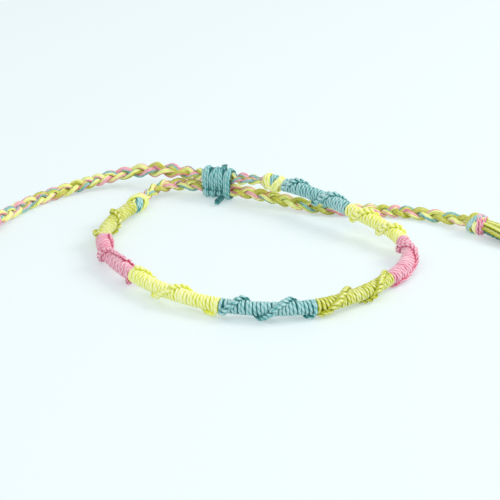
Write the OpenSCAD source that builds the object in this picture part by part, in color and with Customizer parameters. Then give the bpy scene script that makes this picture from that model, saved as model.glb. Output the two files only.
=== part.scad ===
// Bracelet of cotton embroidery thread, lying open on a table.
// One bundle of thread runs along a single route: fringe, end knot, braided tie, band knot,
// a loop wrapped in eight colours, band knot, braided tie, end knot and fringe.
// Both ties pass through one sliding knot, one above the other.
// Sizes are in millimetres, the table is z = 0, and +Z is up.

/* [Wrapped band] */
// Diameter of the round body of the wrapped band
wrap_d = 2.8; // [2.4:0.1:3.2]
// Height of the spiral ridge of hitches above the body
ridge_h = 0.85; // [0.3:0.05:1]
// Half of the angle that the foot of the ridge covers
ridge_spread = 50; // [36:2:60]
// Diameter of the bundle of threads inside the wrapping
core_d = 1.7; // [1.4:0.05:1.8]
// Gap left between neighbouring pieces
seam = 0.12; // [0.1:0.01:0.2]

/* [Braided ties] */
// Sideways swing of a strand to either side of the middle of its braid
swing_side = 0.85; // [0.84:0.01:0.9]
// Swing of a strand above and below the middle of its braid
swing_rise = 0.55; // [0.54:0.01:0.58]
// Width of a strand
strand_w = 0.8; // [0.65:0.05:0.8]
// Thickness of a strand
strand_t = 0.56; // [0.46:0.02:0.56]
// Angle at which the flat of a braid leans towards the front
braid_lean = 35; // [25:1:45]

/* [Sliding knot] */
// Length of the sliding knot along the ties
slider_l = 6.4; // [6:0.1:7]
// Thickness of its wraps
slider_t = 0.8; // [0.7:0.05:1]
// Radius that it leaves open round each tie
slider_bore = 1.45; // [1.43:0.01:1.5]
// Thickness of its two cut ends
stub_d = 1.5; // [1.2:0.1:1.8]

/* [Knots and fringes] */
// Length of the knot at each end of the band
band_knot_l = 5; // [4:0.1:5.5]
// Diameter of the knot at each end of the band
band_knot_d = 3.7; // [3.4:0.1:3.8]
// Length of the knot at the end of each tie
end_knot_l = 4.4; // [4:0.1:5]
// Diameter of the knot at the end of each tie
end_knot_d = 4.2; // [3.8:0.1:4.4]
// Length of the fringe beyond each end knot
fringe_l = 17; // [10:1:18]
// Thickness of one lock of a fringe
lock_d = 1.1; // [0.8:0.1:1.2]

/* [Hidden] */

// Colours of the cotton
LEMON = [0.92, 0.93, 0.48];
OLIVE = [0.74, 0.76, 0.20];
PINK = [0.94, 0.58, 0.70];
TEAL = [0.36, 0.65, 0.67];

// The route, from the tip of the right fringe to the tip of the left one: x, y, height
ROUTE = [
    [66, -9.5, 0.8], [59.5, -4, 0.9], [54, 1.5, 1.2], [49.5, 5.8, 2.1], [45.5, 9.6, 2.2],
    [41, 13.2, 1.5], [35, 16.9, 1.2], [28.5, 18.2, 1.2], [22, 18.7, 1.2], [15, 18.9, 1.25],
    [8.5, 22.3, 1.6], [3, 24.9, 1.95], [-2, 26.7, 2.25], [-7, 28.5, 2.3], [-12, 30.5, 2.3],
    [-17, 31, 2.3], [-20.8, 27.6, 2.3], [-22.5, 21.3, 2.25], [-26, 14.5, 2.3], [-28.8, 7.5, 2.4],
    [-29.8, 0, 2.4], [-28.3, -7.5, 2.4], [-24.8, -15, 2.6], [-20, -21.8, 2.7], [-13.5, -27.8, 2.5],
    [-6, -31.8, 2.35], [2, -33.5, 2.3], [10, -33.2, 2.3], [17.5, -29.7, 2.3], [24, -23.2, 2.3],
    [29, -16, 2.3], [31.5, -8.5, 2.4], [30.7, -2, 2.8], [27, 3.4, 3.8], [21.3, 8.2, 4.8],
    [16, 14.5, 5.2], [10.5, 19.7, 5.45], [4.5, 23.8, 5.6], [-1.8, 26.5, 5.1], [-7, 28.5, 4.7],
    [-12, 30.6, 4.7], [-17, 33.4, 4.5], [-22.5, 35.8, 3.8], [-28.5, 34.8, 2.9], [-35, 32.4, 1.9],
    [-41, 28.4, 1.25], [-46, 23.4, 1.2], [-49.6, 17, 1.3], [-52.4, 10, 2.3], [-56.5, 5, 2.35],
    [-62, 1.5, 1.2], [-67.5, -2.5, 0.9], [-73, -7, 0.8]
];

// Wrapped colours in order round the loop: cotton, length, and the ridge as places along the band
// with the angle that the ridge has reached there
COLOUR = 0;
LENGTH = 1;
RIDGE = 2;
BANDS = [
    [OLIVE, 18.4, [[0, -70], [5.3, 15], [7.1, 65], [10.3, 215], [15.5, 365], [18.4, 400]]],
    [PINK, 19.8,
        [[0, 130], [3.2, 180], [6.9, 315], [8.8, 400], [10.6, 450], [14.6, 462], [19.2, 660], [19.8, 680]]],
    [LEMON, 21.7, [[0, 85], [3.4, 140], [7.8, 300], [11, 390], [12.9, 475], [19.9, 650], [21.7, 690]]],
    [TEAL, 18,
        [[0, 300], [2.3, 385], [4.2, 475], [7.6, 645], [10.7, 745], [13.3, 835], [16.9, 1010], [18, 1050]]],
    [OLIVE, 19.3, [[0, 275], [3.7, 380], [7.9, 490], [12, 660], [14.2, 755], [19.3, 845]]],
    [PINK, 18.5, [[0, 260], [3.5, 312], [10.3, 338], [13.2, 435], [16, 560], [18.5, 640]]],
    [LEMON, 15.9, [[0, -95], [3, 50], [6.6, 230], [10.3, 414], [13.9, 595], [15.9, 690]]],
    [TEAL, 17.7, [[0, -55], [4.4, 56], [6.3, 148], [9, 240], [14.4, 420], [16.3, 512], [17.7, 575]]]
];

// Middle of the ground that everything covers, which is laid over the origin
MIDDLE = [-3.9, 0.5, 0];

// Where the pieces start along the route
band_start = 110.6;
slider_low = 84.45;
slider_high = 275.15;
left_end = 333.6;
right_end = 24.7;

// A braid stops this much short of its knots, because its strands end on the slant
TIE_GAP = 0.5;

// A smooth curve drawn from the route's points
STEPS = 12;
last = len(ROUTE) - 1;
last_step = ROUTE[last] - ROUTE[last - 1];
guide = concat([2 * ROUTE[0] - ROUTE[1]], ROUTE, [for (k = [1:2]) ROUTE[last] + k * last_step]);
function share(u) = [(1 - u) ^ 3, 3 * u ^ 3 - 6 * u ^ 2 + 4, -3 * u ^ 3 + 3 * u ^ 2 + 3 * u + 1, u ^ 3] / 6;
function blend(i, u) = let (b = share(u))
    b[0] * guide[i] + b[1] * guide[i + 1] + b[2] * guide[i + 2] + b[3] * guide[i + 3];
curve = [for (i = [0:last]) for (k = [0:STEPS - 1]) if (i < last || k == 0) blend(i, k / STEPS) - MIDDLE];
function step_to(i) = i + 1 < len(curve) ? norm(curve[i + 1] - curve[i]) : 0;
run = [for (i = 0, s = 0; i < len(curve); s = s + step_to(i), i = i + 1) s];
run_x = [for (i = [0:len(curve) - 1]) [run[i], curve[i].x]];
run_y = [for (i = [0:len(curve) - 1]) [run[i], curve[i].y]];
run_z = [for (i = [0:len(curve) - 1]) [run[i], curve[i].z]];
function at(s) = [lookup(s, run_x), lookup(s, run_y), lookup(s, run_z)];

// Directions at a place on the route: ahead, away from the middle of the loop, and up
PROBE = 0.6;
function unit(v) = v / norm(v);
function ahead(s) = unit(at(s + PROBE) - at(s - PROBE));
function outward(s) = unit(cross(ahead(s), [0, 0, 1]));
function upward(s) = cross(outward(s), ahead(s));
function around(s, angle) = cos(angle) * outward(s) + sin(angle) * upward(s);

// Places from one length to another, at most a given step apart
function places(from, to, step) = let (n = ceil((to - from) / step))
    [for (i = [0:n]) from + (to - from) * i / n];

// A solid skinned over rings that hold the same number of points
module skin(rings) {
    sides = len(rings[0]);
    points = [for (r = rings) for (p = r) p];
    top = (len(rings) - 1) * sides;
    walls = [for (i = [0:len(rings) - 2]) for (j = [0:sides - 1])
        let (a = i * sides + j, b = i * sides + (j + 1) % sides)
        for (f = [[a, b, b + sides], [a, b + sides, a + sides]]) f];
    ends = [[for (j = [sides - 1:-1:0]) j], [for (j = [0:sides - 1]) top + j]];
    polyhedron(points, concat(walls, ends));
}

// A round tube along the route, with a radius for each place
module tube(from, to, step, radius, sides) {
    skin([for (s = places(from, to, step))
        [for (j = [0:sides - 1]) at(s) + radius * around(s, 360 * j / sides)]]);
}

// Wrapped band: a hollow sleeve of thread with the hitches as a spiral ridge
RIDGE_SECTION = [[0, 1], [0.5, 0.62], [1, 0]];
BACK_ANGLES = [90, 135, 180, 225, 270];
RIDGE_STEP = 0.75;
CORE_SIDES = 6;
CORE_STEP = 2.5;
BORE_GAP = 0.16;
ridge_side = [for (r = RIDGE_SECTION) [r[0] * ridge_spread, wrap_d / 2 + r[1] * ridge_h]];
wrap_section = concat(
    ridge_side,
    [for (a = BACK_ANGLES) [a, wrap_d / 2]],
    [for (i = [2:-1:1]) [-ridge_side[i][0], ridge_side[i][1]]]
);
function band_from(i) = band_start + (i == 0 ? 0 : band_from(i - 1) - band_start + BANDS[i - 1][LENGTH]);
band_end = band_from(len(BANDS) - 1) + BANDS[len(BANDS) - 1][LENGTH];

module wrap(i) {
    row = BANDS[i];
    from = band_from(i);
    to = from + row[LENGTH] - seam;
    color(row[COLOUR])
        difference() {
            skin([for (s = places(from, to, RIDGE_STEP))
                let (ridge = lookup(s - from, row[RIDGE]))
                [for (v = wrap_section) at(s) + v[1] * around(s, ridge + v[0])]]);
            tube(from - CORE_STEP, to + CORE_STEP, CORE_STEP, core_d / 2 + BORE_GAP, CORE_SIDES);
        }
}

// Bundle of threads that the band is wrapped on
module core_threads() {
    color("khaki") tube(band_start, band_end - seam, CORE_STEP, core_d / 2, CORE_SIDES);
}

// Knot tied in the whole bundle: a bulb with two bands wound slantwise round it
KNOT_SHAPE = [[0, 0.62], [0.14, 0.88], [0.32, 1], [0.5, 0.98], [0.68, 1], [0.86, 0.88], [1, 0.62]];
KNOT_SIDES = 12;
KNOT_TURN = 200;
LOBE = 0.07;
module knot(from, length, diameter) {
    skin([for (k = KNOT_SHAPE)
        let (s = from + k[0] * length, turn = k[0] * KNOT_TURN)
        [for (j = [0:KNOT_SIDES - 1])
            let (a = 360 * j / KNOT_SIDES, lobe = 1 - LOBE + LOBE * cos(2 * (a - turn)))
            at(s) + diameter / 2 * k[1] * lobe * around(s, a)]]);
}
module band_knot_left() {
    color(LEMON) knot(band_start - band_knot_l - seam, band_knot_l, band_knot_d);
}
module band_knot_right() {
    color(LEMON) knot(band_end, band_knot_l, band_knot_d);
}
module end_knot_right() {
    color(PINK) knot(right_end, end_knot_l, end_knot_d);
}
module end_knot_left() {
    color(PINK) knot(left_end, end_knot_l, end_knot_d);
}

// Braid: three flat strands that cross in turn, with their arms opening away from the band.
// How far round the first strand has swung at places along the route, in degrees
LEFT_SWING = [
    [28, 55], [36.5, 340], [42.5, 560], [49.5, 900], [58.2, 1270], [68.2, 1635], [76.7, 1995],
    [92.2, 2595], [107, 3160]
];
RIGHT_SWING = [
    [263, 335], [282, 1245], [290, 1490], [297, 1730], [301, 1880], [308, 2225], [316, 2540], [335, 3200]
];
STRAND_SIDES = 6;
STRAND_STEP = 0.82;
STRAND_PROBE = 0.1;
// Makes a six-sided strand as thick as it should be, since its flats lie inside its corners
FLATS = 1 / sin(60);
function strand_at(s, third, opens, swing) = let (a = lookup(s, swing) + 120 * third)
    at(s) + swing_side * sin(a) * around(s, braid_lean)
    + opens * swing_rise * sin(2 * a) * around(s, braid_lean + 90);
module strand(from, to, third, opens, swing) {
    skin([for (s = places(from, to, STRAND_STEP))
        let (
            middle = strand_at(s, third, opens, swing),
            next = strand_at(s + STRAND_PROBE, third, opens, swing),
            before = strand_at(s - STRAND_PROBE, third, opens, swing),
            run_dir = unit(next - before),
            wide = unit(cross(around(s, braid_lean + 90), run_dir)),
            thick = cross(wide, run_dir)
        )
        [for (j = [0:STRAND_SIDES - 1])
            let (a = 360 * j / STRAND_SIDES)
            middle + strand_w / 2 * cos(a) * wide + strand_t / 2 * FLATS * sin(a) * thick]]);
}
module left_tie(third, shade) {
    from = right_end + end_knot_l + TIE_GAP;
    to = band_start - band_knot_l - seam - TIE_GAP;
    color(shade) strand(from, to, third, -1, LEFT_SWING);
}
module right_tie(third, shade) {
    color(shade) strand(band_end + band_knot_l + TIE_GAP, left_end - TIE_GAP, third, 1, RIGHT_SWING);
}
module left_tie_olive() { left_tie(0, OLIVE); }
module left_tie_teal() { left_tie(2, TEAL); }
module left_tie_pink() { left_tie(1, PINK); }
module right_tie_olive() { right_tie(0, OLIVE); }
module right_tie_teal() { right_tie(2, TEAL); }
module right_tie_pink() { right_tie(1, PINK); }

// Sliding knot: four flat wraps side by side round both ties, with two cut ends.
// Each wrap is wider than its share of the length, so that it runs into the next one
WRAPS = 4;
WRAP_SIDES = 8;
WRAP_OVERLAP = 1.12;
ARC_STEPS = 4;
// Cut ends: place along the ties, out, how deep the root is in the wraps, length
TOP_END = [-1.2, 0.3, 0.3, 1.3];
LOW_END = [-1.3, -1, 0.3, 3.4];
slider_mid = (at(slider_low) + at(slider_high)) / 2;
slider_ahead = ahead(slider_high) + ahead(slider_low);
slider_dir = unit([slider_ahead.x, slider_ahead.y, 0]);
slider_side = cross(slider_dir, [0, 0, 1]);
half_rise = (at(slider_high).z - at(slider_low).z) / 2;
wrap_w = slider_l / WRAPS;
loop_r = slider_bore + slider_t / 2;
// Round the two ties: a half circle over the upper one and a half circle under the lower one
loop_angles = [for (k = [0:2 * ARC_STEPS + 1]) 180 * (k <= ARC_STEPS ? k : k - 1) / ARC_STEPS];
function loop_rise(k) = k <= ARC_STEPS ? half_rise : -half_rise;
module slider_wrap(place) {
    sides = WRAP_SIDES;
    n = len(loop_angles);
    points = [for (k = [0:n - 1]) for (j = [0:sides - 1])
        let (
            out = cos(loop_angles[k]) * slider_side + sin(loop_angles[k]) * [0, 0, 1],
            a = 360 * j / sides
        )
        slider_mid + [0, 0, loop_rise(k)] + place * slider_dir + loop_r * out
        + slider_t / 2 * cos(a) * out + wrap_w / 2 * WRAP_OVERLAP * sin(a) * slider_dir];
    faces = [for (k = [0:n - 1]) for (j = [0:sides - 1])
        let (
            a = k * sides + j,
            b = k * sides + (j + 1) % sides,
            c = ((k + 1) % n) * sides + (j + 1) % sides,
            d = ((k + 1) % n) * sides + j
        )
        for (f = [[a, c, b], [a, d, c]]) f];
    polyhedron(points, faces);
}
module cut_end(row, up, way) {
    rise = up * (half_rise + loop_r - row[2]);
    root = slider_mid + row[0] * slider_dir + row[1] * slider_side + [0, 0, rise];
    across = cross(way, slider_dir);
    skin([for (k = [0:1])
        [for (j = [0:WRAP_SIDES - 1])
            let (a = -360 * j / WRAP_SIDES)
            root + k * row[3] * way + stub_d / 2 * (cos(a) * slider_dir + sin(a) * across)]]);
}
module slider_knot() {
    color(TEAL)
        union() {
            for (i = [0:WRAPS - 1]) slider_wrap((i - (WRAPS - 1) / 2) * wrap_w);
            cut_end(TOP_END, 1, [0, 0, 1]);
            cut_end(LOW_END, -1, -slider_side);
        }
}

// Fringe: locks of thread that leave the end knot together and spread over the table
LOCKS = 6;
LOCK_SIDES = 5;
LOCK_STEPS = 4;
LOCK_START = 0.5;
LOCK_TAPER = 0.35;
// How far the locks lie from the middle at the root, and at the tips to the side and upwards
ROOT_SPREAD = 0.75;
SPREAD_SIDE = 2.2;
SPREAD_RISE = 0.35;
// The locks differ in length by this share of it, in turn
UNEVEN = 0.1;
UNEVEN_TURN = 140;
// Head that holds the locks together behind the knot
HEAD_L = 2;
HEAD_R = 1.1;
HEAD_STEP = 1;
HEAD_SIDES = 8;
function spread(t, tip) = ROOT_SPREAD + t * (tip - ROOT_SPREAD);
function lock_at(s, t, i) = let (a = 360 * i / LOCKS)
    at(s) + spread(t, SPREAD_SIDE) * cos(a) * outward(s) + spread(t, SPREAD_RISE) * sin(a) * [0, 0, 1];
module lock(root, way, i) {
    length = fringe_l * (1 - UNEVEN + UNEVEN * cos(UNEVEN_TURN * i));
    skin([for (k = [0:LOCK_STEPS])
        let (t = way > 0 ? k / LOCK_STEPS : 1 - k / LOCK_STEPS, s = root + way * t * length)
        [for (j = [0:LOCK_SIDES - 1])
            lock_at(s, t, i) + lock_d / 2 * (1 - LOCK_TAPER * t) * around(s, 360 * j / LOCK_SIDES)]]);
}
module fringe(root, way) {
    union() {
        tube(min(root, root + way * HEAD_L), max(root, root + way * HEAD_L), HEAD_STEP, HEAD_R, HEAD_SIDES);
        for (i = [0:LOCKS - 1]) lock(root + way * LOCK_START, way, i);
    }
}
module fringe_right() {
    color(OLIVE) fringe(right_end - seam, -1);
}
module fringe_left() {
    color(OLIVE) fringe(left_end + end_knot_l + seam, 1);
}

wrap(0);  // wrap_olive_1
wrap(1);  // wrap_pink_1
wrap(2);  // wrap_lemon_1
wrap(3);  // wrap_teal_1
wrap(4);  // wrap_olive_2
wrap(5);  // wrap_pink_2
wrap(6);  // wrap_lemon_2
wrap(7);  // wrap_teal_2
core_threads();
band_knot_left();
band_knot_right();
left_tie_olive();
left_tie_teal();
left_tie_pink();
right_tie_olive();
right_tie_teal();
right_tie_pink();
slider_knot();
end_knot_right();
end_knot_left();
fringe_right();
fringe_left();
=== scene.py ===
"""Looks of a knotted cotton bracelet: every thread is laid along one route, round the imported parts."""

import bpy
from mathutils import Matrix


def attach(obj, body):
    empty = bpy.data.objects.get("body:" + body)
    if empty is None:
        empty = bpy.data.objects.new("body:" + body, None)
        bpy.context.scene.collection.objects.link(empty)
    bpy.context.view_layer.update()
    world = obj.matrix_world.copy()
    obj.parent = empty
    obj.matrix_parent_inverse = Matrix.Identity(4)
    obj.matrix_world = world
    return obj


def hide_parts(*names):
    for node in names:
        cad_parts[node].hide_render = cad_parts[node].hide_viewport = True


bl_info = {
    "name": "Knotted Cotton Bracelet",
    "version": (1, 0, 0),
    "blender": (4, 5, 0),
    "location": "View3D > Sidebar > Bracelet",
    "description": "Lays the band, the braided ties, the knots and the fringes of a cotton bracelet",
    "category": "Add Mesh",
}

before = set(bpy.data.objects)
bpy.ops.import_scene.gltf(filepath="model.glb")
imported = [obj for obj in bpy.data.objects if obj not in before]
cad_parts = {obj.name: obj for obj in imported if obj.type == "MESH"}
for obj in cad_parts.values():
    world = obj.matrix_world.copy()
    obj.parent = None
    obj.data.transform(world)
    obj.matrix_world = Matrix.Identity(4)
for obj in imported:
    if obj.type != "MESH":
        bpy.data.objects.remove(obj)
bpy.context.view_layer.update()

import math

import bpy
import numpy as np
from bpy.props import FloatProperty, FloatVectorProperty, IntProperty, PointerProperty
from mathutils import Vector

MM = 0.001
BODY = "root"
UV_NAME = "thread"
UP = np.array((0.0, 0.0, 1.0))

# The route, from the tip of the right fringe to the tip of the left one: x, y, height in mm
ROUTE = (
    (66, -9.5, 0.8), (59.5, -4, 0.9), (54, 1.5, 1.2), (49.5, 5.8, 2.1), (45.5, 9.6, 2.2),
    (41, 13.2, 1.5), (35, 16.9, 1.2), (28.5, 18.2, 1.2), (22, 18.7, 1.2), (15, 18.9, 1.25),
    (8.5, 22.3, 1.6), (3, 24.9, 1.95), (-2, 26.7, 2.25), (-7, 28.5, 2.3), (-12, 30.5, 2.3),
    (-17, 31, 2.3), (-20.8, 27.6, 2.3), (-22.5, 21.3, 2.25), (-26, 14.5, 2.3), (-28.8, 7.5, 2.4),
    (-29.8, 0, 2.4), (-28.3, -7.5, 2.4), (-24.8, -15, 2.6), (-20, -21.8, 2.7), (-13.5, -27.8, 2.5),
    (-6, -31.8, 2.35), (2, -33.5, 2.3), (10, -33.2, 2.3), (17.5, -29.7, 2.3), (24, -23.2, 2.3),
    (29, -16, 2.3), (31.5, -8.5, 2.4), (30.7, -2, 2.8), (27, 3.4, 3.8), (21.3, 8.2, 4.8),
    (16, 14.5, 5.2), (10.5, 19.7, 5.45), (4.5, 23.8, 5.6), (-1.8, 26.5, 5.1), (-7, 28.5, 4.7),
    (-12, 30.6, 4.7), (-17, 33.4, 4.5), (-22.5, 35.8, 3.8), (-28.5, 34.8, 2.9), (-35, 32.4, 1.9),
    (-41, 28.4, 1.25), (-46, 23.4, 1.2), (-49.6, 17, 1.3), (-52.4, 10, 2.3), (-56.5, 5, 2.35),
    (-62, 1.5, 1.2), (-67.5, -2.5, 0.9), (-73, -7, 0.8),
)
# Middle of the ground that everything covers, which lies over the origin
MIDDLE = (-3.9, 0.5, 0)
# Steps of the route between two points, and mm to either side that tell its direction
ROUTE_STEPS = 12
PROBE = 0.6

# Wrapped bands round the loop: node, cotton, length in mm, and degrees that the ridge of hitches has come
# round at places along the band
BANDS = (
    ("wrap_olive_1", "olive", 18.4,
     ((0, -70), (5.3, 15), (7.1, 65), (10.3, 215), (15.5, 365), (18.4, 400))),
    ("wrap_pink_1", "pink", 19.8,
     ((0, 130), (3.2, 180), (6.9, 315), (8.8, 400), (10.6, 450), (14.6, 462), (19.2, 660), (19.8, 680))),
    ("wrap_lemon_1", "lemon", 21.7,
     ((0, 85), (3.4, 140), (7.8, 300), (11, 390), (12.9, 475), (19.9, 650), (21.7, 690))),
    ("wrap_teal_1", "teal", 18.0,
     ((0, 300), (2.3, 385), (4.2, 475), (7.6, 645), (10.7, 745), (13.3, 835), (16.9, 1010), (18, 1050))),
    ("wrap_olive_2", "olive", 19.3,
     ((0, 275), (3.7, 380), (7.9, 490), (12, 660), (14.2, 755), (19.3, 845))),
    ("wrap_pink_2", "pink", 18.5,
     ((0, 260), (3.5, 312), (10.3, 338), (13.2, 435), (16, 560), (18.5, 640))),
    ("wrap_lemon_2", "lemon", 15.9,
     ((0, -95), (3, 50), (6.6, 230), (10.3, 414), (13.9, 595), (15.9, 690))),
    ("wrap_teal_2", "teal", 17.7,
     ((0, -55), (4.4, 56), (6.3, 148), (9, 240), (14.4, 420), (16.3, 512), (17.7, 575))),
)

# Lengths in mm: the gap between two pieces, and the knots
SEAM = 0.12
BAND_KNOT = 5.0
END_KNOT = 4.4
# Places along the route in mm: the band, the end knots, and the middle of the sliding knot on either tie
BAND_START = 110.6
BAND_END = BAND_START + sum(row[2] for row in BANDS)
RIGHT_END = 24.7
LEFT_END = 333.6
SLIDER_LOW = 84.45
SLIDER_HIGH = 275.15

# How far round the first strand of a braid has swung, in degrees, at places along the route
LEFT_SWING = (
    (28, 55), (36.5, 340), (42.5, 560), (49.5, 900), (58.2, 1270), (68.2, 1635), (76.7, 1995),
    (92.2, 2595), (107, 3160),
)
RIGHT_SWING = (
    (263, 335), (282, 1245), (290, 1490), (297, 1730), (301, 1880), (308, 2225), (316, 2540), (335, 3200),
)

# Where the right tie is loosest, over how many mm, and by what share
LOOSE_AT = 289
LOOSE_REACH = 5
LOOSE = 0.3

# Strands of the braids: node, thirds of a turn that it is ahead by, slot, cottons of the threads round it,
# and which of these threads lies on top at places along the route
STRANDS = (
    ("left_tie_olive", 0, "olive_thread", "olive olive olive olive lemon teal pink olive",
     ((28, 2), (36, 0.8), (45, 1), (49, 2.5), (62, 1), (66.5, 2.3), (71, 1), (75, 2.3), (80, 0), (89, -0.5),
      (94, -0.6), (98.5, 1.5), (103, 4.7), (107, 5))),
    ("left_tie_pink", 1, "pink_lemon_thread", "pink pink pink lemon lemon lemon olive lemon",
     ((28, 4), (32, 3.8), (37.5, 7.2), (42.5, 8), (46, 9), (68, 13), (72.5, 14.5), (76.5, 17), (81.5, 19.5),
      (90.5, 22), (95.5, 25), (100, 28), (107, 29))),
    ("left_tie_teal", 2, "teal_lemon_thread", "teal teal lemon lemon lemon pink lemon olive",
     ((28, -1), (34, 0.4), (39, 2.3), (43.5, -1), (47.5, -1.5), (65, -8), (69.5, -12), (74, -13), (78, -11),
      (92, -13.4), (97, -10), (101.5, -7.7), (107, -6))),
    ("right_tie_olive", 0, "olive_thread", "olive olive olive lemon lemon teal teal pink",
     ((263, 3.5), (265, 5), (268, 7), (272, 3.5), (279.5, 3), (284, 1), (290, 1), (295, 3.4), (300, 5.3),
      (304, 3.6), (307.5, 2), (312, 1.8), (316.5, 0), (322, -0.8), (327, -2.7), (335, -2.7))),
    ("right_tie_pink", 1, "pink_lemon_thread", "pink pink pink lemon lemon lemon olive teal",
     ((263, -1.5), (266, -1.5), (269.5, 0), (280.5, 0), (286, -0.9), (291.5, 1), (297, 0.7), (301.5, 2.3),
      (305, 3.4), (309, 4.2), (313.5, 7.3), (318.5, 5.5), (323.5, 9), (329, 12), (335, 12))),
    ("right_tie_teal", 2, "teal_lemon_thread", "teal teal olive pink lemon lemon lemon pink",
     ((263, -3), (267, 0.4), (270.5, 1), (282, 6), (288, 5.4), (293.5, 5.3), (298.5, 5), (302.5, 4.6),
      (306.5, 1.2), (310.5, 4.8), (315, 4.2), (320, 5.6), (325.5, 6.5), (330.5, 5), (335, 5))),
)

COTTONS = ("lemon", "olive", "pink", "teal")


def unit(v):
    """Vectors of length one."""
    return v / np.linalg.norm(v, axis=-1, keepdims=True)


def bell(values, middle, width):
    """One at the middle, and less the farther a value is from it."""
    return np.exp(-(((values - middle) / width) ** 2))


def blend_curve(guide, steps):
    """Smooth curve that guide points pull, with steps to a span. It starts near the second of them."""
    guide = np.asarray(guide, float)
    u = (np.arange(steps) / steps)[None, :, None]
    shares = ((1 - u) ** 3, 3 * u**3 - 6 * u**2 + 4, -3 * u**3 + 3 * u**2 + 3 * u + 1, u**3)
    spans = len(guide) - 3
    parts = sum(share * guide[k : k + spans, None, :] for k, share in enumerate(shares)) / 6
    return parts.reshape(-1, guide.shape[1])


def smooth(keys, steps=8):
    """Smooth path through rows of numbers, from the first row to the last."""
    keys = np.asarray(keys, float)
    guide = np.vstack([keys[0], keys[0], keys, keys[-1], keys[-1]])
    return np.vstack([blend_curve(guide, steps), keys[-1]])


def run_along(points):
    """Distance of each point from the first one, along the line that they make."""
    steps = np.linalg.norm(np.diff(points, axis=0), axis=1)
    return np.concatenate([[0], np.cumsum(steps)])


def read_off(rows, run, wanted):
    """Rows of numbers that belong to distances along a line, read off at other distances."""
    return np.stack([np.interp(wanted, run, rows[:, k]) for k in range(rows.shape[1])], -1)


def even(points, spacing, *others):
    """The points, and any rows that go with them, taken again at even distances."""
    run = run_along(points)
    wanted = np.linspace(0, run[-1], max(int(run[-1] / spacing), 2) + 1)
    return (*(read_off(rows, run, wanted) for rows in (points, *others)), wanted)


class Course:
    """The route, told by how far along it a place is, in mm."""

    def __init__(self):
        route = np.array(ROUTE, float)
        ahead = route[-1] - route[-2]
        guide = np.vstack([2 * route[0] - route[1], route, route[-1] + ahead, route[-1] + 2 * ahead])
        count = (len(route) - 1) * ROUTE_STEPS + 1
        self.curve = blend_curve(guide, ROUTE_STEPS)[:count] - np.array(MIDDLE)
        self.run = run_along(self.curve)

    def at(self, s):
        """Points on the route."""
        return read_off(self.curve, self.run, s)

    def ahead(self, s):
        """Directions of travel."""
        return unit(self.at(s + PROBE) - self.at(s - PROBE))

    def outward(self, s):
        """Directions away from the middle of the loop, level with the table."""
        return unit(np.cross(self.ahead(s), UP))

    def around(self, s, degrees):
        """Directions at an angle round the route, from outward and then up."""
        out = self.outward(s)
        up = np.cross(out, self.ahead(s))
        a = np.radians(np.broadcast_to(degrees, np.shape(s)))[..., None]
        return np.cos(a) * out + np.sin(a) * up

    def place(self, rows):
        """Points and outward directions, from rows of angle in degrees, place and distance out."""
        around = self.around(rows[:, 1], rows[:, 0])
        return self.at(rows[:, 1]) + rows[:, 2:3] * around, around


COURSE = Course()

# Threads: mm between rings, points round a ring, mm between random swellings, mm within which the colour
# starts, and the place across one, on its underside where its painted shade is darkest, whose colour a
# buried thread takes all over
RING_GAP = 0.24
RING_POINTS = 12
SWELL_GAP = 1.1
START_RANGE = 50
SHADED_UNDERSIDE = 0.75


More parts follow.
